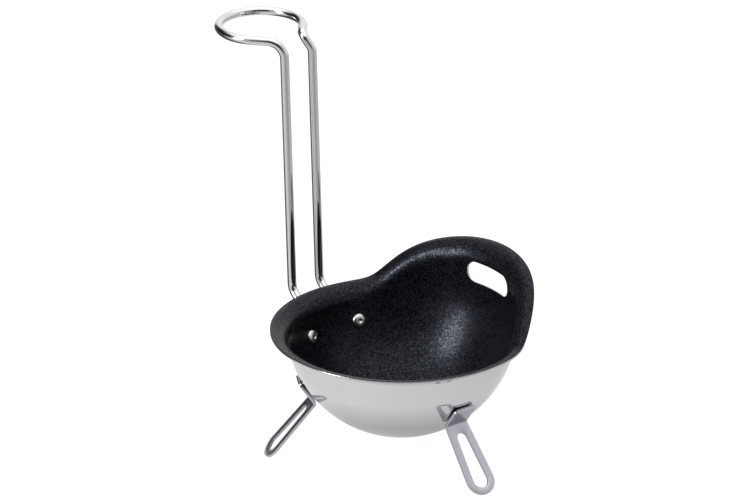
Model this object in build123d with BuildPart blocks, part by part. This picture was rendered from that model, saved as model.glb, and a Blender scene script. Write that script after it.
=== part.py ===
from build123d import *
from math import acos, asin, atan2, cos, degrees, hypot, pi, radians, sin, sqrt, tan
import os

# Egg poacher pan in millimetres. +Z is up, +X points to the raised hood and +Y to the handle.
# The origin lies on the floor, under the axis of the round bowl.

# Bowl: a round pressed body with a flared lip, which sits a little crooked on its feet
bowl_radius = 46.7
bowl_clearance = 9.2
sheet = 0.8
coating = 0.2
lip_overhang = 5.9
rim_drop = 3.7
bowl_lean_angle = -0.3
hood_turn_angle = -1.1

# Hood: the stretch of lip that climbs towards +X, with both its bends placed in from the lip's far edge
hood_start_inset = 28.3
hood_bend_inset = 17.5
hood_start_rounding = 4.2
hood_bend_rounding = 10.2
hood_steep_slope = 1.41
hood_gentle_slope = 0.424
hood_spread_slope = 0.035

# Slot through the hood
slot_length = 26.0
slot_width = 9.0
slot_rise = 6.2
slot_shift = 1.8

# Sections of the lip, and where the plain round body takes over below them
section_step = 10
section_overlap = 30
wall_steps = 5
flare_steps = 6
lip_margin = 2.0
seam_tolerance = 0.01

# Handle: one wire, bent from two rods and a ring
handle_azimuth = 90.0
wire_radius = 1.85
rod_spacing = 14.5
rod_lean_angle = 2.2
rod_clearance = 6.4
rod_foot_drop = 3.2
rod_tuck_angle = 43.0
rod_end_length = 6.0
rod_foot_bend = 5.5
rod_weld_bend = 7.0
rod_top_bend = 7.0
ring_rise = 102.6
ring_radius = 16.95
ring_gap = 3.85
ring_shift = 2.0
neck_angle = 227.0
neck_reach = 8.4
neck_bend = 3.5
shoulder_drop = 6.2
shoulder_bend = 5.0

# Curved plate that carries the wire, and its two rivets
plate_thickness = 1.2
plate_length = 38.0
plate_width = 13.0
plate_latitude = -22.2
rivet_spacing = 25.8
rivet_radius = 1.6
rivet_head_radius = 3.0
rivet_head_height = 1.5
rivet_tail_radius = 2.6
rivet_tail_height = 1.1
rivet_edge = 0.3
rivet_dimple_radius = 0.8
rivet_dimple_depth = 0.6

# Feet: bent strips with a head welded to the bowl and a slotted leg
foot_azimuths = {"front_foot": 266.6, "hood_foot": 26.6, "side_foot": 146.6}
foot_sheet = 1.2
foot_latitude = -35.5
foot_head_length = 10.5
foot_head_corner = 1.6
foot_knee_width = 10.4
foot_tip_radius = 6.5
foot_leg_angle = 40.0
foot_bend_radius = 0.6
foot_slot_start = 3.8
foot_slot_top_radius = 2.4
foot_slot_tip_radius = 3.5
foot_pad_depth = 0.35
weld_radius = 1.6
weld_spacing = 5.0
weld_gap = 0.15
wire_weld_sink = 0.15

# Length by which every cutting tool overruns its piece
overrun = 2.0

os.makedirs("parts", exist_ok=True)

bowl_height = bowl_radius + bowl_clearance
lip_radius = bowl_radius + lip_overhang
hood_start = lip_radius - hood_start_inset
hood_bend = lip_radius - hood_bend_inset


def radial_plane(azimuth):
    """Upright plane through a bowl centred on the origin: x runs outwards, y runs up."""
    turn = radians(azimuth)
    return Plane(origin=(0, 0, 0), x_dir=(cos(turn), sin(turn), 0), z_dir=(sin(turn), -cos(turn), 0))


def facing_plane(azimuth, tilt, out, rise):
    """Plane that faces outwards, tilted up from level: x runs level, y runs up it."""
    turn = radians(azimuth)
    lean = radians(tilt)
    return Plane(
        origin=(out * cos(turn), out * sin(turn), bowl_height + rise),
        x_dir=(-sin(turn), cos(turn), 0),
        z_dir=(cos(lean) * cos(turn), cos(lean) * sin(turn), sin(lean)),
    )


def wall_plane(azimuth, latitude, distance):
    """Plane square to the round wall, at a distance from the bowl's centre."""
    lean = radians(latitude)
    return facing_plane(azimuth, latitude, distance * cos(lean), distance * sin(lean))


def rounded_ramp(distance, rounding):
    """Zero before the start of a slope and the distance along it after, with a rounded corner."""
    return (distance + hypot(distance, rounding)) / 2


def rim_height(azimuth):
    """Height of the outside edge of the lip above the bowl's centre."""
    across = lip_radius * cos(radians(azimuth))
    climb = hood_steep_slope * rounded_ramp(across - hood_start, hood_start_rounding)
    ease = (hood_steep_slope - hood_gentle_slope) * rounded_ramp(across - hood_bend, hood_bend_rounding)
    return climb - ease - rim_drop


def flare(azimuth):
    """Where the lip's flare turns away from the wall: its radius, its centre and its start."""
    edge = rim_height(azimuth)
    edge_radius = lip_radius + hood_spread_slope * (edge + rim_drop)
    reach = bowl_radius + edge
    if reach < edge_radius:
        pivot = (edge_radius**2 + reach**2) / (2 * reach)
        start = acos(edge_radius / pivot)
        return pivot - bowl_radius, (pivot * cos(start), -pivot * sin(start)), start
    return edge_radius - bowl_radius, (edge_radius, edge - edge_radius + bowl_radius), 0


joint_drop = bowl_radius * sin(flare(180)[2]) + lip_margin


def wall_points(azimuth, depth):
    """Points up one section of the wall, at a depth below the bowl's outside."""
    flare_radius, (pivot_out, pivot_up), start = flare(azimuth)
    radius = bowl_radius - depth
    joint = asin(joint_drop / radius)
    round_length = radius * (joint - start)
    straight_length = max(pivot_up, 0)
    points = []
    for step in range(wall_steps):
        travel = (round_length + straight_length) * step / wall_steps
        angle = joint - min(travel, round_length) / radius
        rise = max(travel - round_length, 0)
        points.append((radius * cos(angle), rise - radius * sin(angle)))
    turned = flare_radius + depth
    for step in range(flare_steps + 1):
        angle = start + (pi / 2 - start) * step / flare_steps
        points.append((pivot_out - turned * cos(angle), pivot_up + turned * sin(angle)))
    return points


def wall_curve(azimuth, depth):
    """Smooth curve up one section of the wall, level at the lip's edge."""
    joint = asin(joint_drop / (bowl_radius - depth))
    return Spline(*wall_points(azimuth, depth), tangents=[(sin(joint), cos(joint)), (1, 0)])


def shell_layer(outer_depth, inner_depth):
    """One layer of the bowl between two depths, about the origin: the body below, the lip and hood above."""
    with BuildPart() as body:
        Sphere(radius=bowl_radius - outer_depth)
        Sphere(radius=bowl_radius - inner_depth, mode=Mode.SUBTRACT)
        split(bisect_by=Plane.XY.offset(-joint_drop), keep=Keep.BOTTOM)
    with BuildPart() as lip:
        for azimuth in range(-section_overlap, 181 + section_overlap, section_step):
            with BuildSketch(radial_plane(azimuth)):
                with BuildLine():
                    outside = wall_curve(azimuth, outer_depth)
                    inside = wall_curve(azimuth, inner_depth)
                    Line(outside @ 0, inside @ 0)
                    Line(outside @ 1, inside @ 1)
                make_face()
        loft()
        split(bisect_by=Plane.XZ, keep=Keep.BOTTOM)
        mirror(about=Plane.XZ)
    with BuildPart() as shell:
        add(body.part.fuse(lip.part, tol=seam_tolerance))
        with BuildSketch(Plane.YZ):
            with Locations((-slot_shift, slot_rise)):
                SlotOverall(slot_length, slot_width)
        extrude(amount=lip_radius + overrun, mode=Mode.SUBTRACT)
    return shell.part


def make_layer(label, outer_depth, inner_depth):
    """Finished layer of the bowl, set on its feet, with its rivet holes."""
    with BuildPart() as layer:
        with Locations((0, 0, bowl_height)):
            add(shell_layer(outer_depth, inner_depth), rotation=(bowl_lean_angle, 0, hood_turn_angle))
        for azimuth in rivet_azimuths.values():
            with BuildSketch(wall_plane(azimuth, plate_latitude, bowl_radius - sheet - overrun)):
                Circle(rivet_radius)
            extrude(amount=sheet + plate_thickness + 2 * overrun, mode=Mode.SUBTRACT)
    layer.part.label = label
    export_step(layer.part, f"parts/{label}.step")
    return layer


rivet_turn = degrees(asin(rivet_spacing / 2 / (bowl_radius * cos(radians(plate_latitude)))))
rivet_azimuths = {"rivet_left": handle_azimuth + rivet_turn, "rivet_right": handle_azimuth - rivet_turn}
bowl = make_layer("bowl", 0, sheet)
nonstick_coating = make_layer("nonstick_coating", sheet, sheet + coating)


def handle_point(across, out, rise):
    """Point of the handle: across it towards the hood, out from the bowl's axis, above its centre."""
    return Vector(across, out, bowl_height + rise)


rod_foot_out = lip_radius + rod_clearance


def rod_line(rise):
    """Distance of a rod from the bowl's axis at some height above the bowl's centre."""
    return rod_foot_out + (rise + rod_foot_drop) * tan(radians(rod_lean_angle))


ring_out = rod_line(ring_rise) + ring_gap + ring_radius


def ring_point(angle):
    """Point on the ring's centre line: zero points away from the bowl, a quarter turn to -X."""
    turn = radians(angle)
    return handle_point(-ring_shift - ring_radius * sin(turn), ring_out + ring_radius * cos(turn), ring_rise)


# The wire's straight ends lie against the plate, square to the wall at the rivets' latitude.
plate_radius = bowl_radius + plate_thickness
plate_tilt = radians(-plate_latitude)
weld_reach = sqrt((plate_radius + wire_radius - wire_weld_sink) ** 2 - (rod_spacing / 2) ** 2)
weld_out = weld_reach * cos(plate_tilt)
weld_up = -weld_reach * sin(plate_tilt)
tuck = radians(rod_tuck_angle)
tuck_length = (
    (rod_foot_out - weld_out) * cos(plate_tilt) - (-rod_foot_drop - weld_up) * sin(plate_tilt)
) / cos(tuck + plate_tilt)
tuck_out = rod_foot_out - tuck_length * cos(tuck)
tuck_up = -rod_foot_drop - tuck_length * sin(tuck)


def rod_foot(across):
    """The lower corners of one rod, from its welded end up to where it stands clear of the lip."""
    return [
        handle_point(
            across, weld_out - rod_end_length * sin(plate_tilt), weld_up - rod_end_length * cos(plate_tilt)
        ),
        handle_point(across, tuck_out, tuck_up),
        handle_point(across, rod_foot_out, -rod_foot_drop),
    ]


# The near rod runs straight on to the ring, where it meets it as a tangent.
top_out = rod_line(ring_rise)
near_gap = hypot(ring_out - top_out, rod_spacing / 2 - ring_shift)
near_angle = 180 - degrees(atan2(rod_spacing / 2 - ring_shift, ring_out - top_out) + acos(ring_radius / near_gap))

# The far rod leaves the ring further round and necks in before it turns down.
neck_turn = radians(neck_angle)
neck = ring_point(neck_angle) + Vector(cos(neck_turn), sin(neck_turn), 0) * neck_reach
shoulder_rise = ring_rise - shoulder_drop

with BuildPart() as handle_wire:
    with BuildLine() as wire_path:
        near_rod = FilletPolyline(
            *rod_foot(-rod_spacing / 2),
            handle_point(-rod_spacing / 2, top_out, ring_rise),
            ring_point(near_angle),
            radius=[rod_weld_bend, rod_foot_bend, rod_top_bend],
        )
        ThreePointArc(ring_point(near_angle), ring_point(0), ring_point(neck_angle))
        far_rod = FilletPolyline(
            ring_point(neck_angle),
            neck,
            handle_point(rod_spacing / 2, rod_line(shoulder_rise), shoulder_rise),
            *reversed(rod_foot(rod_spacing / 2)),
            radius=[neck_bend, shoulder_bend, rod_foot_bend, rod_weld_bend],
        )
    with BuildSketch(Plane(origin=near_rod @ 0, z_dir=near_rod % 0)):
        Circle(wire_radius)
    sweep(path=wire_path.wire())
handle_wire.part.label = "handle_wire"
export_step(handle_wire.part, "parts/handle_wire.step")

# The plate follows the round wall, and the wire's ends are seated in it.
with BuildPart() as handle_plate:
    with Locations((0, 0, bowl_height)):
        Sphere(radius=plate_radius)
        Sphere(radius=bowl_radius, mode=Mode.SUBTRACT)
    with BuildSketch(wall_plane(handle_azimuth, plate_latitude, bowl_radius - plate_width)):
        SlotOverall(plate_length, plate_width)
    extrude(amount=2 * plate_width, mode=Mode.INTERSECT)
    for azimuth in rivet_azimuths.values():
        with BuildSketch(wall_plane(azimuth, plate_latitude, bowl_radius - overrun)):
            Circle(rivet_radius)
        extrude(amount=plate_thickness + 2 * overrun, mode=Mode.SUBTRACT)
    add(handle_wire.part, mode=Mode.SUBTRACT)
handle_plate.part.label = "handle_plate"
export_step(handle_plate.part, "parts/handle_plate.step")


def on_round(radius, aside):
    """Point of a rivet's profile on a round surface about the bowl's centre."""
    return (aside, sqrt(radius**2 - aside**2))


def round_edge(radius, first, last):
    """Arc of a rivet's profile that lies on a round surface."""
    return ThreePointArc(on_round(radius, first), on_round(radius, (first + last) / 2), on_round(radius, last))


coated_radius = bowl_radius - sheet - coating
for label, azimuth in rivet_azimuths.items():
    wall = wall_plane(azimuth, plate_latitude, 0)
    head_edge = on_round(coated_radius, rivet_head_radius)[1] - rivet_edge
    head_top = coated_radius - rivet_head_height
    tail_edge = on_round(plate_radius, rivet_tail_radius)[1] + rivet_edge
    tail_top = plate_radius + rivet_tail_height
    with BuildPart() as rivet:
        with BuildSketch(Plane(origin=wall.origin, x_dir=wall.x_dir, z_dir=-wall.y_dir)):
            with BuildLine():
                Polyline((0, tail_top), (0, head_top + rivet_dimple_depth), (rivet_dimple_radius, head_top))
                TangentArc((rivet_dimple_radius, head_top), (rivet_head_radius, head_edge), tangent=(1, 0))
                Line((rivet_head_radius, head_edge), on_round(coated_radius, rivet_head_radius))
                round_edge(coated_radius, rivet_head_radius, rivet_radius)
                Line(on_round(coated_radius, rivet_radius), on_round(plate_radius, rivet_radius))
                round_edge(plate_radius, rivet_radius, rivet_tail_radius)
                Line(on_round(plate_radius, rivet_tail_radius), (rivet_tail_radius, tail_edge))
                TangentArc((0, tail_top), (rivet_tail_radius, tail_edge), tangent=(1, 0))
            make_face()
        revolve(axis=Axis(wall.origin, wall.z_dir))
    rivet.part.label = label
    export_step(rivet.part, f"parts/{label}.step")

# Each foot is bent once, at a knee just off the bowl; its head and leg open outwards from there.
head_lean = radians(foot_latitude)
leg_lean = radians(foot_leg_angle)
head_distance = bowl_radius + weld_gap
knee_out = (head_distance + foot_sheet) * cos(head_lean) + foot_head_length / 2 * sin(head_lean)
knee_rise = (head_distance + foot_sheet) * sin(head_lean) - foot_head_length / 2 * cos(head_lean)
knee_turn = foot_leg_angle - foot_latitude
knee_flat = foot_bend_radius * tan(radians(knee_turn / 2))
leg_length = (knee_rise + bowl_height + foot_pad_depth - foot_sheet * sin(leg_lean)) / cos(leg_lean)
tip_centre = foot_tip_radius - leg_length

for label, azimuth in foot_azimuths.items():
    head = wall_plane(azimuth, foot_latitude, head_distance)
    leg = facing_plane(azimuth, foot_leg_angle, knee_out, knee_rise)
    head_foot = knee_flat - foot_head_length / 2
    bend = Plane(
        origin=head.from_local_coords((0, head_foot, 0)), x_dir=head.x_dir, z_dir=-head.y_dir
    )
    with BuildPart() as foot:
        with BuildSketch(head):
            with BuildLine():
                FilletPolyline(
                    (-foot_knee_width / 2, head_foot),
                    (-foot_knee_width / 2, foot_head_length / 2),
                    (foot_knee_width / 2, foot_head_length / 2),
                    (foot_knee_width / 2, head_foot),
                    radius=foot_head_corner,
                )
                Line((foot_knee_width / 2, head_foot), (-foot_knee_width / 2, head_foot))
            make_face()
        extrude(amount=foot_sheet)
        with BuildSketch(bend):
            with Locations((0, foot_sheet / 2)):
                Rectangle(foot_knee_width, foot_sheet)
        revolve(
            axis=Axis(head.from_local_coords((0, head_foot, foot_sheet + foot_bend_radius)), -head.x_dir),
            revolution_arc=knee_turn,
        )
        with BuildSketch(leg):
            with BuildLine():
                Line((-foot_knee_width / 2, -knee_flat), (foot_knee_width / 2, -knee_flat))
                CenterArc((0, tip_centre), foot_tip_radius, 0, 360)
            make_hull()
            with BuildLine() as slot_ends:
                CenterArc((0, -foot_slot_start - foot_slot_top_radius), foot_slot_top_radius, 0, 360)
                CenterArc((0, tip_centre), foot_slot_tip_radius, 0, 360)
            make_hull(slot_ends.edges(), mode=Mode.SUBTRACT)
        extrude(amount=-foot_sheet)
        with BuildSketch(head):
            with GridLocations(weld_spacing, weld_spacing, 2, 1):
                Circle(weld_radius)
        extrude(amount=-overrun)
        with Locations((0, 0, bowl_height)):
            Sphere(radius=bowl_radius, mode=Mode.SUBTRACT)
        split(bisect_by=Plane.XY, keep=Keep.TOP)
    foot.part.label = label
    export_step(foot.part, f"parts/{label}.step")
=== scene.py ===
# %% [markdown]
# # An egg poacher pan, dressed for the camera
#
# The pan stands in a pot of simmering water. One egg lies in its round bowl, and the cook lifts it out by
# the tall wire handle. Its solids come from CAD. This notebook gives them the surfaces that a camera sees:
# polished steel outside, a black non-stick coating inside, and bright bent wire.
#
# Every piece is drawn in millimetres, as on a workshop drawing, and scaled to Blender's metres at the end.

# %% Load the CAD frame
import math

import bmesh
import bpy
from mathutils import Matrix, Vector


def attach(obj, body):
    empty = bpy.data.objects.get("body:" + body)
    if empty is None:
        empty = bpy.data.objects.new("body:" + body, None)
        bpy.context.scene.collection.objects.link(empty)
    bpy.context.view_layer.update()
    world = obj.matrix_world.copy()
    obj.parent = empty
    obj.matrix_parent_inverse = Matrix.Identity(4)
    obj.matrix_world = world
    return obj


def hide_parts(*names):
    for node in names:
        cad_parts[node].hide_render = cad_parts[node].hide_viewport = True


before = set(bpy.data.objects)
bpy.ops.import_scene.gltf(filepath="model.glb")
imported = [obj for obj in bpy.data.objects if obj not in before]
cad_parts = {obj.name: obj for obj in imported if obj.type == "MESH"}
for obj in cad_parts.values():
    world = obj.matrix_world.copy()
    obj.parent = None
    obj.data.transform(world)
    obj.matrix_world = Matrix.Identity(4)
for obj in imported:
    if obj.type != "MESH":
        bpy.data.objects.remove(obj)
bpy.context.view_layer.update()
mm = 0.001
print("CAD nodes:", ", ".join(sorted(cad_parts)))

# %% [markdown]
# ## The camera
#
# The photographer stood back and looked down at the bowl by about 23 degrees, with a long lens that keeps
# upright rods nearly parallel. A camera's place follows from one known point: the bowl's centre, seen from
# far away along the line of sight. Moving the camera sideways and up then slides the pan to its place in the
# picture without turning it.

# %% Set up the camera
view_turn = math.radians(-41.0)
view_drop = math.radians(23.3)
picture_width = 750
pixels_per_mm = 2.5
focal_pixels = 5500.0
bowl_radius, bowl_clearance = 46.7, 9.2
bowl_height = bowl_radius + bowl_clearance
slide_right = -10.5
slide_up = 28.3
sensor_width = 36.0
near_clip, far_clip = 0.05, 20.0

along = Vector((-math.sin(view_turn) * math.cos(view_drop), math.cos(view_turn) * math.cos(view_drop),
                -math.sin(view_drop)))
right = Vector((math.cos(view_turn), math.sin(view_turn), 0))
up = right.cross(along)
standing = (Vector((0, 0, bowl_height)) - along * focal_pixels / pixels_per_mm
            + right * slide_right + up * slide_up)

camera = bpy.data.objects.new("camera", bpy.data.cameras.new("camera"))
camera.data.sensor_width = sensor_width
camera.data.lens = focal_pixels * sensor_width / picture_width
camera.data.clip_start = near_clip
camera.data.clip_end = far_clip
camera.location = standing * mm
camera.rotation_euler = (math.pi / 2 - view_drop, 0, view_turn)
bpy.context.scene.collection.objects.link(camera)
bpy.context.scene.camera = camera
print("camera stands at", [round(c, 3) for c in camera.location],
      "with a lens of", round(camera.data.lens), "mm")

# %% [markdown]
# ## Helpers for every piece
#
# A node tree is easier to read when each node is made, set and linked in one line. A drawn shape is closed
# up and gets its sharp edges rounded. A finished piece always goes through the same steps: scale to metres,
# shade smooth with crisp creases, take the place of its CAD solid, and ride on the frame.

# %% Helpers for nodes
def add_node(tree, kind, inputs=None, **settings):
    """Adds a node, sets its properties and fills its inputs with values or with other nodes' outputs."""
    node = tree.nodes.new(kind)
    for name, value in settings.items():
        setattr(node, name, value)
    for name, value in (inputs or {}).items():
        if isinstance(value, bpy.types.NodeSocket):
            tree.links.new(value, node.inputs[name])
        else:
            node.inputs[name].default_value = value
    return node


def new_material(name):
    """A new material with an empty node tree."""
    material = bpy.data.materials.new(name)
    material.use_nodes = True
    material.node_tree.nodes.clear()
    return material, material.node_tree


def finish_metal(tree, colour, rough, bump):
    """Ends a node tree in bare metal with a colour, a roughness and a bump."""
    shader = add_node(tree, "ShaderNodeBsdfPrincipled",
                      {"Base Color": colour, "Metallic": 1.0, "Roughness": rough.outputs["Result"],
                       "Normal": bump.outputs["Normal"]})
    add_node(tree, "ShaderNodeOutputMaterial", {"Surface": shader.outputs["BSDF"]})


print("node helpers ready")

# %% Helpers for shapes and for finished pieces
# Values that differ by less than this, in millimetres or radians, count as the same.
tiny = 0.001
crease_angle = math.radians(35)
thin_edge_angle = 1.2


def edges_of(geometry):
    """The edges among the things that an operator made."""
    return [item for item in geometry if isinstance(item, bmesh.types.BMEdge)]


def verts_of(geometry):
    """The vertices among the things that an operator made."""
    return [item for item in geometry if isinstance(item, bmesh.types.BMVert)]


def spin_round(shape, outline, steps):
    """Joins the points of an outline by edges and spins them once round the Z axis."""
    edges = [shape.edges.new(pair) for pair in zip(outline, outline[1:])]
    bmesh.ops.spin(shape, geom=outline + edges, cent=(0, 0, 0), axis=(0, 0, 1), angle=2 * math.pi,
                   steps=steps, use_merge=True)


def close_up(shape):
    """Merges doubled vertices and turns every face outwards."""
    bmesh.ops.remove_doubles(shape, verts=shape.verts, dist=tiny)
    bmesh.ops.recalc_face_normals(shape, faces=shape.faces)


def round_edges(shape, sharper_than, width, segments=3):
    """Rounds every edge where two faces meet at more than an angle."""
    corners = [edge for edge in shape.edges if edge.calc_face_angle(0) > sharper_than]
    bmesh.ops.bevel(shape, geom=corners, offset=width, offset_type="OFFSET", segments=segments, profile=0.5,
                    affect="EDGES", clamp_overlap=True, material=-1)


def shade(mesh):
    """Smooth shading, with a hard line wherever two faces meet at more than the crease angle."""
    mesh.shade_smooth()
    mesh.set_sharp_from_angle(angle=crease_angle)


def finish_piece(shape, name, material, node):
    """Turns a drawing in millimetres into a piece that stands for a CAD node."""
    bmesh.ops.scale(shape, vec=Vector((mm, mm, mm)), verts=shape.verts)
    mesh = bpy.data.meshes.new(name)
    shape.to_mesh(mesh)
    shape.free()
    mesh.materials.append(material)
    shade(mesh)
    piece = bpy.data.objects.new(name, mesh)
    bpy.context.scene.collection.objects.link(piece)
    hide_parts(node)
    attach(piece, "root")
    print(name, "has", len(mesh.polygons), "faces")
    return piece


print("shape helpers ready")

# %% [markdown]
# ## Polished steel
#
# The bowl is pressed from sheet and polished on a spinning wheel, so its shine is broken by hair-fine rings
# round its axis. Noise that changes quickly with height and hardly at all round the bowl makes those rings.
# They vary the roughness and lift a very low bump.

# %% Polished steel for the bowl and the plate
bowl_grey = (0.64, 0.64, 0.65, 1)
polished_steel, tree = new_material("polished_steel")
place = add_node(tree, "ShaderNodeTexCoord").outputs["Object"]
split = add_node(tree, "ShaderNodeSeparateXYZ", {"Vector": place})
flat = add_node(tree, "ShaderNodeCombineXYZ", {"X": split.outputs["X"], "Y": split.outputs["Y"]})
from_axis = add_node(tree, "ShaderNodeVectorMath", {0: flat.outputs["Vector"]}, operation="LENGTH")
rings = add_node(tree, "ShaderNodeCombineXYZ", {"X": from_axis.outputs["Value"], "Z": split.outputs["Z"]})
grain = add_node(tree, "ShaderNodeTexNoise",
                 {"Vector": rings.outputs["Vector"], "Scale": 2600.0, "Detail": 2.0})
clouds = add_node(tree, "ShaderNodeTexNoise", {"Vector": place, "Scale": 60.0, "Detail": 3.0})
mixed = add_node(tree, "ShaderNodeMath", {0: grain.outputs["Fac"], 1: clouds.outputs["Fac"]},
                 operation="MULTIPLY")
rough = add_node(tree, "ShaderNodeMapRange",
                 {"Value": mixed.outputs["Value"], "From Min": 0.1, "From Max": 0.45,
                  "To Min": 0.07, "To Max": 0.12})
bump = add_node(tree, "ShaderNodeBump",
                {"Height": grain.outputs["Fac"], "Strength": 0.05, "Distance": 0.02 * mm})
finish_metal(tree, bowl_grey, rough, bump)
print("polished steel has", len(tree.nodes), "nodes")

# %% [markdown]
# ## The black coating
#
# Non-stick coating is sprayed on and baked. It holds fine metal flakes, so a soft highlight on it breaks up
# into a cool sparkle, while everything out of the highlight stays black. Small Voronoi cells stand for the
# flakes: some of them turn to metal, each stands a little higher or lower, and a fine grain lies over them.

# %% Non-stick coating
soot_black = (0.001, 0.0011, 0.0011, 1)
flake_blue = (0.042, 0.048, 0.066, 1)
black_coating, tree = new_material("black_coating")
place = add_node(tree, "ShaderNodeTexCoord").outputs["Object"]
flakes = add_node(tree, "ShaderNodeTexVoronoi", {"Vector": place, "Scale": 2800.0}, feature="F1")
sparse = add_node(tree, "ShaderNodeSeparateColor", {"Color": flakes.outputs["Color"]})
chosen = add_node(tree, "ShaderNodeMapRange",
                  {"Value": sparse.outputs["Red"], "From Min": 0.45, "From Max": 1.0,
                   "To Min": 0.0, "To Max": 1.0})
grain = add_node(tree, "ShaderNodeTexNoise",
                 {"Vector": place, "Scale": 2600.0, "Detail": 2.0, "Roughness": 0.6})
height = add_node(tree, "ShaderNodeMath", {0: grain.outputs["Fac"], 1: sparse.outputs["Green"]},
                  operation="ADD")
bump = add_node(tree, "ShaderNodeBump",
                {"Height": height.outputs["Value"], "Strength": 0.4, "Distance": 0.06 * mm})
tint = add_node(tree, "ShaderNodeMix", {"Factor": chosen.outputs["Result"], "A": soot_black, "B": flake_blue},
                data_type="RGBA")
shader = add_node(tree, "ShaderNodeBsdfPrincipled",
                  {"Base Color": tint.outputs["Result"], "Metallic": chosen.outputs["Result"],
                   "Roughness": 0.27, "Specular IOR Level": 0.1, "Normal": bump.outputs["Normal"]})
add_node(tree, "ShaderNodeOutputMaterial", {"Surface": shader.outputs["BSDF"]})
print("black coating has", len(tree.nodes), "nodes")

# %% [markdown]
# ## Bright wire, rivets and feet
#
# The handle's wire is bright as a mirror and shows only a trace of drawing marks. The rivets are a little
# softer, because a hammer set them. The feet are stamped from rolled sheet and keep its satin skin.

# %% Three more steels
def steel(name, colour, smoothest, roughest, marks, depth):
    """Bare steel whose roughness wanders between two values, over marks of a given fineness and depth."""
    material, tree = new_material(name)
    place = add_node(tree, "ShaderNodeTexCoord").outputs["Object"]
    wander = add_node(tree, "ShaderNodeTexNoise", {"Vector": place, "Scale": 110.0, "Detail": 4.0})
    rough = add_node(tree, "ShaderNodeMapRange",
                     {"Value": wander.outputs["Fac"], "From Min": 0.3, "From Max": 0.7,
                      "To Min": smoothest, "To Max": roughest})
    fine = add_node(tree, "ShaderNodeTexNoise", {"Vector": place, "Scale": marks, "Detail": 2.0})
    bump = add_node(tree, "ShaderNodeBump",
                    {"Height": fine.outputs["Fac"], "Strength": depth, "Distance": 0.03 * mm})
    finish_metal(tree, colour, rough, bump)
    print(name, "has", len(tree.nodes), "nodes")
    return material


bright_wire = steel("bright_wire", (0.70, 0.70, 0.71, 1),
                    smoothest=0.03, roughest=0.05, marks=900.0, depth=0.03)
rivet_steel = steel("rivet_steel", (0.62, 0.60, 0.57, 1),
                    smoothest=0.2, roughest=0.3, marks=1500.0, depth=0.15)
foot_steel = steel("foot_steel", (0.46, 0.455, 0.5, 1),
                   smoothest=0.22, roughest=0.3, marks=2500.0, depth=0.15)

# %% [markdown]
# ## The bowl's section
#
# Cut the bowl through its axis and the section is simple: a quarter circle, a straight rise where the hood
# is tall, and a flare that turns the wall over into a level lip. Only the height of the lip's edge changes
# round the bowl. It stays low, then climbs steeply and then gently to the top of the hood. The finished bowl
# sits a little crooked on its feet, so one matrix seats everything that belongs to it.

# %% Values and section of the bowl
sheet = 0.8
coating = 0.2
lip_radius = bowl_radius + 5.9
rim_drop = 3.7
hood_start, hood_bend = lip_radius - 28.3, lip_radius - 17.5
hood_start_rounding, hood_bend_rounding = 4.2, 10.2
hood_steep_slope, hood_gentle_slope, hood_spread_slope = 1.41, 0.424, 0.035
bowl_lean, hood_turn = math.radians(-0.3), math.radians(-1.1)
bowl_seat = (Matrix.Translation((0, 0, bowl_height)) @ Matrix.Rotation(bowl_lean, 4, "X")
             @ Matrix.Rotation(hood_turn, 4, "Z"))


def rounded_ramp(distance, rounding):
    """Zero before a slope and the distance along it after, with a rounded corner."""
    return (distance + math.hypot(distance, rounding)) / 2


def rim_height(azimuth):
    """Height of the lip's edge above the bowl's centre."""
    across = lip_radius * math.cos(azimuth)
    climb = hood_steep_slope * rounded_ramp(across - hood_start, hood_start_rounding)
    ease = (hood_steep_slope - hood_gentle_slope) * rounded_ramp(across - hood_bend, hood_bend_rounding)
    return climb - ease - rim_drop


def flare(azimuth):
    """Radius, centre and starting angle of the flare that turns the wall over into the lip.

    A low lip's flare leaves the sphere as a tangent, and a high lip's flare stands on a straight rise.
    """
    edge = rim_height(azimuth)
    edge_radius = lip_radius + hood_spread_slope * (edge + rim_drop)
    reach = bowl_radius + edge
    if reach < edge_radius:
        pivot = (edge_radius**2 + reach**2) / (2 * reach)
        start = math.acos(edge_radius / pivot)
        return pivot - bowl_radius, pivot * math.cos(start), -pivot * math.sin(start), start
    return edge_radius - bowl_radius, edge_radius, edge - edge_radius + bowl_radius, 0


print("the lip's edge stands", round(rim_height(math.pi), 1), "mm from the centre at the back and",
      round(rim_height(0), 1), "mm at the hood")

# %% [markdown]
# ## Spinning the bowl and raising its hood
#
# A spun tube already has the rings and columns that the bowl needs. Each ring of the tube stands for one
# station on the way up the outside, over the edge and down the inside. Moving every vertex to its station on
# the section at its own azimuth turns the tube into the bowl, hood and all, with an even grid everywhere.

# %% Spin a layer of the bowl
columns = 240
body_rings = 44
lip_rings = 34
pole_angle = math.pi / 2
joint_angle = math.radians(14.0)
steel_edge, coating_edge = 0.12, 0.05


def station(azimuth, share, depth):
    """Point on the section: shares 0 to 1 run from the pole to the joint, 1 to 2 on to the edge."""
    radius = bowl_radius - depth
    if share <= 1:
        angle = pole_angle + (joint_angle - pole_angle) * share
        return radius * math.cos(angle), -radius * math.sin(angle)
    turn_radius, pivot_out, pivot_up, start = flare(azimuth)
    turned = turn_radius + depth
    lengths = radius * (joint_angle - start), max(pivot_up, 0), turned * (math.pi / 2 - start)
    travel = (share - 1) * sum(lengths)
    if travel <= lengths[0]:
        angle = joint_angle - travel / radius
        return radius * math.cos(angle), -radius * math.sin(angle)
    if travel <= lengths[0] + lengths[1]:
        return radius, travel - lengths[0]
    angle = start + min((travel - lengths[0] - lengths[1]) / turned, math.pi / 2 - start)
    return pivot_out - turned * math.cos(angle), pivot_up + turned * math.sin(angle)


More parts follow.
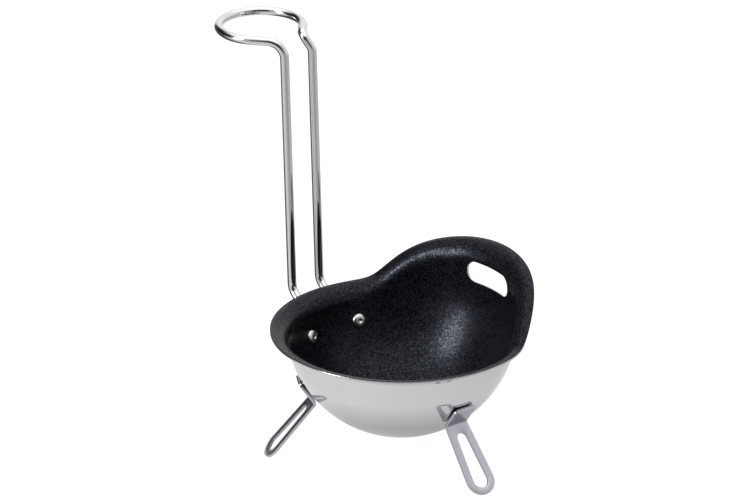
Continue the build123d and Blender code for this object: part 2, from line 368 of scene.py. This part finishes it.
def spin_layer(outer_depth, inner_depth, edge_width):
    """A closed layer of the bowl between two depths below its outside, with its edges rounded."""
    climb = [step / body_rings for step in range(body_rings)]
    climb += [1 + step / lip_rings for step in range(lip_rings + 1)]
    stations = [(share, outer_depth) for share in climb]
    stations += [(share, inner_depth) for share in reversed(climb)]
    shape = bmesh.new()
    column = [shape.verts.new((1, 0, level)) for level in range(len(stations))]
    spin_round(shape, column, columns)
    for vertex in shape.verts:
        azimuth = math.atan2(vertex.co.y, vertex.co.x)
        out, rise = station(azimuth, *stations[round(vertex.co.z)])
        vertex.co = bowl_seat @ Vector((out * math.cos(azimuth), out * math.sin(azimuth), rise))
    close_up(shape)
    round_edges(shape, thin_edge_angle, edge_width)
    return shape


bowl_shape = spin_layer(0, sheet, steel_edge)
coating_shape = spin_layer(sheet, sheet + coating, coating_edge)
print("bowl grid:", len(bowl_shape.faces), "faces")

# %% [markdown]
# ## The slot in the hood
#
# A press punches a long round-ended hole through the top of the hood, and steam leaves through it. In
# Blender the punch is a solid of its own, and a Boolean modifier takes it out of one layer after the other.

# %% Punch the slot
slot_length, slot_width, slot_rise, slot_shift = 26.0, 9.0, 6.2, 1.8
punch_start, punch_length, punch_sides = 30.0, 40.0, 64
off_middle = 0.01


def punch():
    """The punch: a round-ended bar that lies along +X, through the hood."""
    shape = bmesh.new()
    made = bmesh.ops.create_circle(shape, cap_ends=True, segments=punch_sides, radius=slot_width / 2,
                                   matrix=Matrix.Translation((punch_start, 0, slot_rise))
                                   @ Matrix.Rotation(math.pi / 2, 4, "Y"))
    for side in (-1, 1):
        half = [v for v in made["verts"] if v.co.y * side > off_middle]
        bmesh.ops.translate(shape, vec=(0, side * (slot_length - slot_width) / 2, 0), verts=half)
    pushed = bmesh.ops.extrude_face_region(shape, geom=shape.faces[:])["geom"]
    bmesh.ops.translate(shape, vec=(punch_length, 0, 0), verts=verts_of(pushed))
    bmesh.ops.recalc_face_normals(shape, faces=shape.faces)
    bmesh.ops.translate(shape, vec=(0, -slot_shift, 0), verts=shape.verts)
    bmesh.ops.transform(shape, matrix=Matrix.Scale(mm, 4) @ bowl_seat, verts=shape.verts)
    mesh = bpy.data.meshes.new("punch")
    shape.to_mesh(mesh)
    shape.free()
    tool = bpy.data.objects.new("punch", mesh)
    bpy.context.scene.collection.objects.link(tool)
    return tool


def take_away(piece, tool):
    """Cuts the tool out of the piece and keeps the result as the piece's own mesh."""
    cut = piece.modifiers.new("cut", "BOOLEAN")
    cut.operation = "DIFFERENCE"
    cut.solver = "EXACT"
    cut.object = tool
    bpy.context.view_layer.update()
    ready = piece.evaluated_get(bpy.context.evaluated_depsgraph_get())
    mesh = bpy.data.meshes.new_from_object(ready)
    piece.modifiers.clear()
    piece.data = mesh
    shade(mesh)
    print(piece.name, "has", len(mesh.polygons), "faces after the cut")


slot_punch = punch()
bowl = finish_piece(bowl_shape, "steel_bowl", polished_steel, "bowl")
take_away(bowl, slot_punch)
lining = finish_piece(coating_shape, "black_lining", black_coating, "nonstick_coating")
take_away(lining, slot_punch)
bpy.data.objects.remove(slot_punch)

# %% [markdown]
# ## Bending the handle
#
# One wire makes the whole handle. A maker feeds it out straight and bends it round pins, and the same two
# moves draw it here: extruding its end ring is a straight run, and spinning that ring about a pin is a bend.

# %% Two moves of the wire
wire_radius = 1.85
wire_sides = 28
wire_edge = 0.3
bend_step, fewest_steps = 5, 6


def start_wire(shape, place, towards):
    """A ring of edges square to the first run."""
    turned = towards.to_track_quat("Z", "Y").to_matrix().to_4x4()
    made = bmesh.ops.create_circle(shape, cap_ends=True, segments=wire_sides, radius=wire_radius,
                                   matrix=Matrix.Translation(place) @ turned)
    return list({edge for vertex in made["verts"] for edge in vertex.link_edges})


def run_wire(shape, ring, step):
    """Extrudes the end ring along a straight run."""
    made = bmesh.ops.extrude_edge_only(shape, edges=ring)["geom"]
    bmesh.ops.translate(shape, vec=step, verts=verts_of(made))
    return edges_of(made)


def bend_wire(shape, ring, pin, axis, angle):
    """Spins the end ring about a pin, in steps of about five degrees."""
    points = list({vertex for edge in ring for vertex in edge.verts})
    made = bmesh.ops.spin(shape, geom=points + ring, cent=pin, axis=axis, angle=angle,
                          steps=max(fewest_steps, round(math.degrees(angle) / bend_step)))["geom_last"]
    return edges_of(made)


def lead_wire(shape, ring, here, corners):
    """Leads the wire through corners, each with its bend radius, to the last one."""
    for (corner, radius), (following, _) in zip(corners, corners[1:]):
        ahead = (corner - here).normalized()
        beyond = (following - corner).normalized()
        angle = ahead.angle(beyond)
        trim = radius * math.tan(angle / 2)
        axis = ahead.cross(beyond).normalized()
        bend_start = corner - ahead * trim
        ring = run_wire(shape, ring, bend_start - here)
        ring = bend_wire(shape, ring, bend_start + axis.cross(ahead) * radius, axis, angle)
        here = corner + beyond * trim
    return run_wire(shape, ring, corners[-1][0] - here)


print("the wire is", 2 * wire_radius, "mm thick and has", wire_sides, "sides")

# %% [markdown]
# ## The handle's route
#
# Both ends are welded to the plate behind the bowl and lean outwards under the lip. The rods then rise side
# by side, and at the top they part to form an open ring. The near rod runs into the ring as a tangent, and
# the far rod necks in before it turns down.

# %% Bend the handle
rod_spacing, rod_lean = 14.5, math.radians(2.2)
rod_foot_out, rod_foot_drop = lip_radius + 6.4, 3.2
tuck = math.radians(43.0)
rod_end_length = 6.0
rod_foot_bend, rod_weld_bend, rod_top_bend = 5.5, 7.0, 7.0
ring_rise, ring_radius, ring_gap, ring_shift = 102.6, 16.95, 3.85, 2.0
neck_angle, neck_reach, neck_bend = math.radians(227.0), 8.4, 3.5
shoulder_drop, shoulder_bend = 6.2, 5.0
plate_thickness = 1.2
plate_latitude = math.radians(-22.2)
weld_sink = 0.15


def handle_point(across, out, rise):
    """Point of the handle, measured from the bowl's centre."""
    return Vector((across, out, bowl_height + rise))


def rod_line(rise):
    """How far out a rod stands at some height."""
    return rod_foot_out + (rise + rod_foot_drop) * math.tan(rod_lean)


top_out = rod_line(ring_rise)
ring_out = top_out + ring_gap + ring_radius
ring_centre = handle_point(-ring_shift, ring_out, ring_rise)


def ring_point(angle):
    """Point on the ring's centre line; zero points away from the bowl, a quarter turn to -X."""
    return ring_centre + ring_radius * Vector((-math.sin(angle), math.cos(angle), 0))


plate_radius = bowl_radius + plate_thickness
tilt = -plate_latitude
weld_reach = math.sqrt((plate_radius + wire_radius - weld_sink) ** 2 - (rod_spacing / 2) ** 2)
weld_out, weld_up = weld_reach * math.cos(tilt), -weld_reach * math.sin(tilt)
tuck_length = ((rod_foot_out - weld_out) * math.cos(tilt)
               - (-rod_foot_drop - weld_up) * math.sin(tilt)) / math.cos(tuck + tilt)


def rod_foot(across):
    """The lower corners of one rod, from its welded end up."""
    return [
        handle_point(across, weld_out - rod_end_length * math.sin(tilt),
                     weld_up - rod_end_length * math.cos(tilt)),
        handle_point(across, rod_foot_out - tuck_length * math.cos(tuck),
                     -rod_foot_drop - tuck_length * math.sin(tuck)),
        handle_point(across, rod_foot_out, -rod_foot_drop),
    ]


near_aside = rod_spacing / 2 - ring_shift
near_gap = math.hypot(ring_out - top_out, near_aside)
near_angle = (math.pi - math.atan2(near_aside, ring_out - top_out)
              - math.acos(ring_radius / near_gap))
neck_way = Vector((math.cos(neck_angle), math.sin(neck_angle), 0))
shoulder_rise = ring_rise - shoulder_drop

near_foot = rod_foot(-rod_spacing / 2)
far_foot = rod_foot(rod_spacing / 2)
wire = bmesh.new()
wire_end = start_wire(wire, near_foot[0], near_foot[1] - near_foot[0])
wire_end = lead_wire(wire, wire_end, near_foot[0], [
    (near_foot[1], rod_weld_bend),
    (near_foot[2], rod_foot_bend),
    (handle_point(-rod_spacing / 2, top_out, ring_rise), rod_top_bend),
    (ring_point(near_angle), 0),
])
wire_end = bend_wire(wire, wire_end, ring_centre, Vector((0, 0, -1)), near_angle + 2 * math.pi - neck_angle)
wire_end = lead_wire(wire, wire_end, ring_point(neck_angle), [
    (ring_point(neck_angle) + neck_way * neck_reach, neck_bend),
    (handle_point(rod_spacing / 2, rod_line(shoulder_rise), shoulder_rise), shoulder_bend),
    (far_foot[2], rod_foot_bend),
    (far_foot[1], rod_weld_bend),
    (far_foot[0], 0),
])
bmesh.ops.edgeloop_fill(wire, edges=wire_end)
close_up(wire)
round_edges(wire, thin_edge_angle, wire_edge)
finish_piece(wire, "wire_handle", bright_wire, "handle_wire")

# %% [markdown]
# ## Rivets
#
# Two rivets hold the plate. Inside the bowl each has a low dome with a small dimple from the setting tool,
# and behind the plate a smaller dome. Half of that outline, spun once round, is the whole rivet.

# %% Spin the rivets
rivet_spacing = 25.8
rivet_turn = math.asin(rivet_spacing / 2 / (bowl_radius * math.cos(plate_latitude)))
rivet_radius = 1.6
head_radius, head_height = 3.0, 1.5
tail_radius, tail_height = 2.6, 1.1
rivet_edge = 0.3
dimple_radius, dimple_depth = 0.8, 0.6
dimple_slope_radius, dimple_slope_depth = 0.64, 0.15
dimple_edge, dimple_edge_depth = 0.12, 0.06
dome_steps, rivet_sides = 10, 40


def facing(origin, azimuth, latitude):
    """Frame at an origin that faces a direction: x level, y upwards, z outwards."""
    z_way = Vector((math.cos(latitude) * math.cos(azimuth), math.cos(latitude) * math.sin(azimuth),
                    math.sin(latitude)))
    x_way = Vector((-math.sin(azimuth), math.cos(azimuth), 0))
    axes = Matrix((x_way, z_way.cross(x_way), z_way)).transposed().to_4x4()
    return Matrix.Translation(origin) @ axes


def on_round(radius, aside):
    """Height of a round surface about the bowl's centre, at some distance from the rivet's axis."""
    return math.sqrt(radius**2 - aside**2)


def rivet_outline():
    """Half outline of a rivet, from the bottom of its dimple to the top of its tail."""
    inside = bowl_radius - sheet - coating
    head_edge = on_round(inside, head_radius) - rivet_edge
    head_top = inside - head_height
    tail_edge = on_round(plate_radius, tail_radius) + rivet_edge
    tail_top = plate_radius + tail_height
    flat_radius = dimple_radius + dimple_edge
    outline = [(0, head_top + dimple_depth), (dimple_slope_radius, head_top + dimple_slope_depth),
               (dimple_radius, head_top + dimple_edge_depth), (flat_radius, head_top)]
    for step in range(1, dome_steps + 1):
        turn = math.pi / 2 * step / dome_steps
        outline.append((flat_radius + (head_radius - flat_radius) * math.sin(turn),
                        head_edge - (head_edge - head_top) * math.cos(turn)))
    outline += [(head_radius, on_round(inside, head_radius)), (rivet_radius, on_round(inside, rivet_radius)),
                (rivet_radius, on_round(plate_radius, rivet_radius)),
                (tail_radius, on_round(plate_radius, tail_radius))]
    for step in range(dome_steps + 1):
        turn = math.pi / 2 * step / dome_steps
        outline.append((tail_radius * math.cos(turn), tail_edge + (tail_top - tail_edge) * math.sin(turn)))
    return outline


for name, side in (("rivet_left", 1), ("rivet_right", -1)):
    shape = bmesh.new()
    chain = [shape.verts.new((aside, 0, height)) for aside, height in rivet_outline()]
    spin_round(shape, chain, rivet_sides)
    close_up(shape)
    seat = facing(Vector((0, 0, bowl_height)), math.pi / 2 + side * rivet_turn, plate_latitude)
    bmesh.ops.transform(shape, matrix=seat, verts=shape.verts)
    finish_piece(shape, "steel_" + name, rivet_steel, name)

# %% [markdown]
# ## Feet
#
# Each foot is a tongue of sheet with a long slot, bent once. A circle gives both its outline and its slot:
# the lower half stays as the round tip, and the upper half is drawn up to the knee. The knee is a spin of the
# top edges, and two more extrusions make the head with its round corners. Then the sheet gets its thickness,
# the floor cuts the tip flat, and the edges are rounded.

# %% Shape the feet
foot_azimuths = {"front_foot": 266.6, "hood_foot": 26.6, "side_foot": 146.6}
foot_sheet = 1.2
foot_latitude = math.radians(-35.5)
foot_head_length, foot_head_corner = 10.5, 1.6
foot_knee_width, foot_tip_radius = 10.4, 6.5
foot_leg_tilt = math.radians(40.0)
foot_bend_radius = 0.6
foot_slot_start, foot_slot_top_radius, foot_slot_tip_radius = 3.8, 2.4, 3.5
foot_pad_depth = 0.35
weld_gap = 0.15
foot_sides, knee_steps = 64, 8
foot_edge, foot_edge_segments, foot_edge_angle = 0.15, 2, 0.9

head_face = bowl_radius + weld_gap + foot_sheet
knee_out = head_face * math.cos(foot_latitude) + foot_head_length / 2 * math.sin(foot_latitude)
knee_rise = head_face * math.sin(foot_latitude) - foot_head_length / 2 * math.cos(foot_latitude)
knee_turn = foot_leg_tilt - foot_latitude
knee_flat = foot_bend_radius * math.tan(knee_turn / 2)
leg_drop = knee_rise + bowl_height + foot_pad_depth - foot_sheet * math.sin(foot_leg_tilt)
leg_length = leg_drop / math.cos(foot_leg_tilt)
tip_centre = foot_tip_radius - leg_length


def leg_frame(azimuth):
    """Frame on the outer face of a leg: x level, y up the leg to the knee, z outwards."""
    knee = Vector((knee_out * math.cos(azimuth), knee_out * math.sin(azimuth), bowl_height + knee_rise))
    return facing(knee, azimuth, foot_leg_tilt)


def leg_face(shape):
    """The outer face of the leg, with its slot. Returns the edges along the knee."""
    loops = []
    for radius in (foot_tip_radius, foot_slot_tip_radius):
        made = bmesh.ops.create_circle(shape, cap_ends=False, segments=foot_sides, radius=radius)
        loops.append(made["verts"])
    outline, hole = loops
    for vertex in outline:
        turn = math.atan2(vertex.co.y, vertex.co.x)
        if turn < -tiny:
            vertex.co.y += tip_centre
        else:
            vertex.co = Vector((foot_knee_width / 2 * (1 - 2 * turn / math.pi), -knee_flat, 0))
    for vertex in hole:
        if vertex.co.y > -tiny:
            vertex.co *= foot_slot_top_radius / foot_slot_tip_radius
            vertex.co.y += -foot_slot_start - foot_slot_top_radius
        else:
            vertex.co.y += tip_centre
    bmesh.ops.bridge_loops(shape, edges=shape.edges[:])
    return [e for e in shape.edges if all(abs(v.co.y + knee_flat) < tiny for v in e.verts)]


def foot_face():
    """The whole outer face of a foot, flat leg, knee and head."""
    shape = bmesh.new()
    knee = leg_face(shape)
    points = list({v for e in knee for v in e.verts})
    made = bmesh.ops.spin(shape, geom=points + knee, cent=(0, -knee_flat, foot_bend_radius), axis=(1, 0, 0),
                          angle=knee_turn, steps=knee_steps)["geom_last"]
    top = edges_of(made)
    upwards = Vector((0, math.cos(knee_turn), math.sin(knee_turn)))
    straight = foot_head_length - knee_flat - foot_head_corner
    for length, round_off in ((straight, False), (foot_head_corner, True)):
        made = bmesh.ops.extrude_edge_only(shape, edges=top)["geom"]
        top = edges_of(made)
        for vertex in verts_of(made):
            beyond = max(abs(vertex.co.x) - foot_knee_width / 2 + foot_head_corner, 0)
            rise = math.sqrt(max(length**2 - beyond**2, 0)) if round_off else length
            vertex.co += upwards * rise
    close_up(shape)
    return shape


for name, degrees in foot_azimuths.items():
    shape = foot_face()
    if shape.faces[0].normal.z < 0:
        bmesh.ops.reverse_faces(shape, faces=shape.faces)
    whole = shape.faces[:] + shape.edges[:] + shape.verts[:]
    bmesh.ops.solidify(shape, geom=whole, thickness=foot_sheet)
    bmesh.ops.transform(shape, matrix=leg_frame(math.radians(degrees)), verts=shape.verts)
    whole = shape.faces[:] + shape.edges[:] + shape.verts[:]
    cut = bmesh.ops.bisect_plane(shape, geom=whole, plane_co=(0, 0, 0), plane_no=(0, 0, 1),
                                 clear_inner=True)["geom_cut"]
    bmesh.ops.holes_fill(shape, edges=edges_of(cut))
    bmesh.ops.recalc_face_normals(shape, faces=shape.faces)
    round_edges(shape, foot_edge_angle, foot_edge, foot_edge_segments)
    finish_piece(shape, "steel_" + name, foot_steel, name)

# %% [markdown]
# ## The plate keeps its CAD shape
#
# The curved plate behind the bowl is already right as a solid, so it keeps its mesh and only gets its steel.

# %% Steel for the plate
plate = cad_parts["handle_plate"]
plate.data.materials.clear()
plate.data.materials.append(polished_steel)
print("plate has", len(plate.data.polygons), "faces")

# %% [markdown]
# ## White and grey cards
#
# Bright metal is photographed on white, with white and grey cards round the table, and polished wire mirrors
# all of them as streaks. So the floor and the walls get a brightness of their own for every direction round
# the pan, through a colour ramp over the direction. The camera sees white instead.

# %% Brightness round the pan
def ring_of_cards(tree, place, cards):
    """Brightness that follows the direction round the pan, through pairs of degrees and brightness."""
    split = add_node(tree, "ShaderNodeSeparateXYZ", {"Vector": place})
    turn = add_node(tree, "ShaderNodeMath", {0: split.outputs["Y"], 1: split.outputs["X"]},
                    operation="ARCTAN2")
    share = add_node(tree, "ShaderNodeMapRange",
                     {"Value": turn.outputs["Value"], "From Min": -math.pi, "From Max": math.pi})
    ramp = add_node(tree, "ShaderNodeValToRGB", {"Fac": share.outputs["Result"]})
    stops = ramp.color_ramp.elements
    for degrees, brightness in cards:
        stops.new((degrees + 180) / 360).color = (brightness, brightness, brightness, 1)
    stops.remove(stops[-1])
    stops.remove(stops[0])
    return ramp.outputs["Color"]


print("cards can be set up")

# %% [markdown]
# ## Floor
#
# The floor looks different to three kinds of rays. The camera sees white paint with the pan's faint shadow.
# Mirrors see the cards, or close under the bowl a painted shade, painted lighter on the lamp's side. All
# other rays see dull paint, so that the floor doesn't light the pan too much. Distances here are in metres.

# %% Floor
floor_size = 4.0
# Painted shade: the floor that mirrors see darkens under the bowl, and this shade fades out between these
# distances.
shade_reach = {"From Min": 0.025, "From Max": 0.055}
cards_begin = {"From Min": 0.1, "From Max": 0.15}
dull_white = (0.2, 0.2, 0.2, 1)
pure_white = (1, 1, 1, 1)
floor_shape = bmesh.new()
bmesh.ops.create_grid(floor_shape, x_segments=1, y_segments=1, size=floor_size)
floor_mesh = bpy.data.meshes.new("floor")
floor_shape.to_mesh(floor_mesh)
floor_shape.free()
floor = bpy.data.objects.new("floor", floor_mesh)
bpy.context.scene.collection.objects.link(floor)

floor_white, tree = new_material("floor_white")
place = add_node(tree, "ShaderNodeTexCoord").outputs["Object"]
away = add_node(tree, "ShaderNodeVectorMath", {0: place}, operation="LENGTH").outputs["Value"]
cards = ring_of_cards(tree, place, [
    (-179, 0.75), (-160, 0.62), (-133, 0.5), (-105, 0.4), (-82, 0.44), (-55, 0.62), (-20, 0.6), (20, 0.6),
    (50, 1.0), (70, 0.7), (80, 0.12), (124, 0.08), (142, 0.8), (165, 0.85)])
# Painted light and shade close under the bowl: lighter on the lamp's side, darker on the far side and where
# the pan's shadow falls.
under = ring_of_cards(tree, place, [
    (-179, 0.95), (-150, 0.91), (-110, 0.87), (-70, 0.81), (-30, 0.76), (60, 0.8), (150, 0.93)])
shade_share = add_node(tree, "ShaderNodeMapRange",
                       {"Value": away, "To Min": 0.62, "To Max": 1.0, **shade_reach})
near = add_node(tree, "ShaderNodeVectorMath", {0: under, 1: shade_share.outputs["Result"]},
                operation="MULTIPLY")
beyond = add_node(tree, "ShaderNodeMapRange", {"Value": away, **cards_begin})
mirrored = add_node(tree, "ShaderNodeMix",
                    {"Factor": beyond.outputs["Result"], "A": near.outputs["Vector"], "B": cards},
                    data_type="RGBA")
paint = add_node(tree, "ShaderNodeBsdfDiffuse", {"Color": dull_white})
white = add_node(tree, "ShaderNodeEmission", {"Color": pure_white, "Strength": 0.9})
bright = add_node(tree, "ShaderNodeAddShader", {0: paint.outputs["BSDF"], 1: white.outputs["Emission"]})
streaks = add_node(tree, "ShaderNodeEmission", {"Color": mirrored.outputs["Result"], "Strength": 1.0})
rays = add_node(tree, "ShaderNodeLightPath")
seen = add_node(tree, "ShaderNodeMixShader",
                {0: rays.outputs["Is Camera Ray"], 1: paint.outputs["BSDF"], 2: bright.outputs["Shader"]})
shown = add_node(tree, "ShaderNodeMixShader",
                 {0: rays.outputs["Is Glossy Ray"], 1: seen.outputs["Shader"],
                  2: streaks.outputs["Emission"]})
add_node(tree, "ShaderNodeOutputMaterial", {"Surface": shown.outputs["Shader"]})
floor_mesh.materials.append(floor_white)
print("floor laid")

# %% [markdown]
# ## World and lamp
#
# The world is bright overhead, like a ceiling of white cloth, and the cards stand below it. One soft lamp on
# the left makes the highlight inside the hood.

# %% World and lamp
ceiling_white = (1.35, 1.35, 1.35, 1)
world = bpy.data.worlds.new("studio")
world.use_nodes = True
tree = world.node_tree
tree.nodes.clear()
rays = add_node(tree, "ShaderNodeLightPath")
way = add_node(tree, "ShaderNodeTexCoord").outputs["Generated"]
height = add_node(tree, "ShaderNodeSeparateXYZ", {"Vector": way}).outputs["Z"]
walls = ring_of_cards(tree, way, [
    (-179, 0.6), (-162, 0.4), (-152, 0.03), (-110, 0.03), (-98, 0.3), (-80, 0.5), (-41, 0.9), (0, 0.9),
    (49, 1.0), (70, 0.8), (80, 0.08), (100, 0.02), (148, 0.02), (156, 0.5), (170, 0.6)])
above = add_node(tree, "ShaderNodeMapRange", {"Value": height, "From Min": 0.55, "From Max": 0.88},
                 interpolation_type="SMOOTHSTEP")
around = add_node(tree, "ShaderNodeMix", {"Factor": above.outputs["Result"], "A": walls, "B": ceiling_white},
                  data_type="RGBA")
studio = add_node(tree, "ShaderNodeBackground", {"Color": around.outputs["Result"], "Strength": 1.1})
white = add_node(tree, "ShaderNodeBackground", {"Color": pure_white, "Strength": 1.0})
mix = add_node(tree, "ShaderNodeMixShader",
               {0: rays.outputs["Is Camera Ray"], 1: studio.outputs["Background"],
                2: white.outputs["Background"]})
add_node(tree, "ShaderNodeOutputWorld", {"Surface": mix.outputs["Shader"]})
bpy.context.scene.world = world


def soft_lamp(name, place, width, length, power):
    """A lamp that faces the bowl, with its place and size in metres."""
    lamp = bpy.data.objects.new(name, bpy.data.lights.new(name, "AREA"))
    lamp.data.shape = "RECTANGLE"
    lamp.data.size = width
    lamp.data.size_y = length
    lamp.data.energy = power
    lamp.location = place
    towards = Vector((0, 0, bowl_height * mm)) - Vector(place)
    lamp.rotation_euler = towards.to_track_quat("-Z", "Y").to_euler()
    bpy.context.scene.collection.objects.link(lamp)
    print(name, "gives", power, "W")


soft_lamp("left_lamp", place=(-0.86, 0.22, 0.47), width=0.3, length=0.7, power=10.0)

# %% [markdown]
# ## Finish
#
# Colours should render about as they are written, so the view transform is the plain one.

# %% Finish
bpy.context.scene.view_settings.view_transform = "Standard"
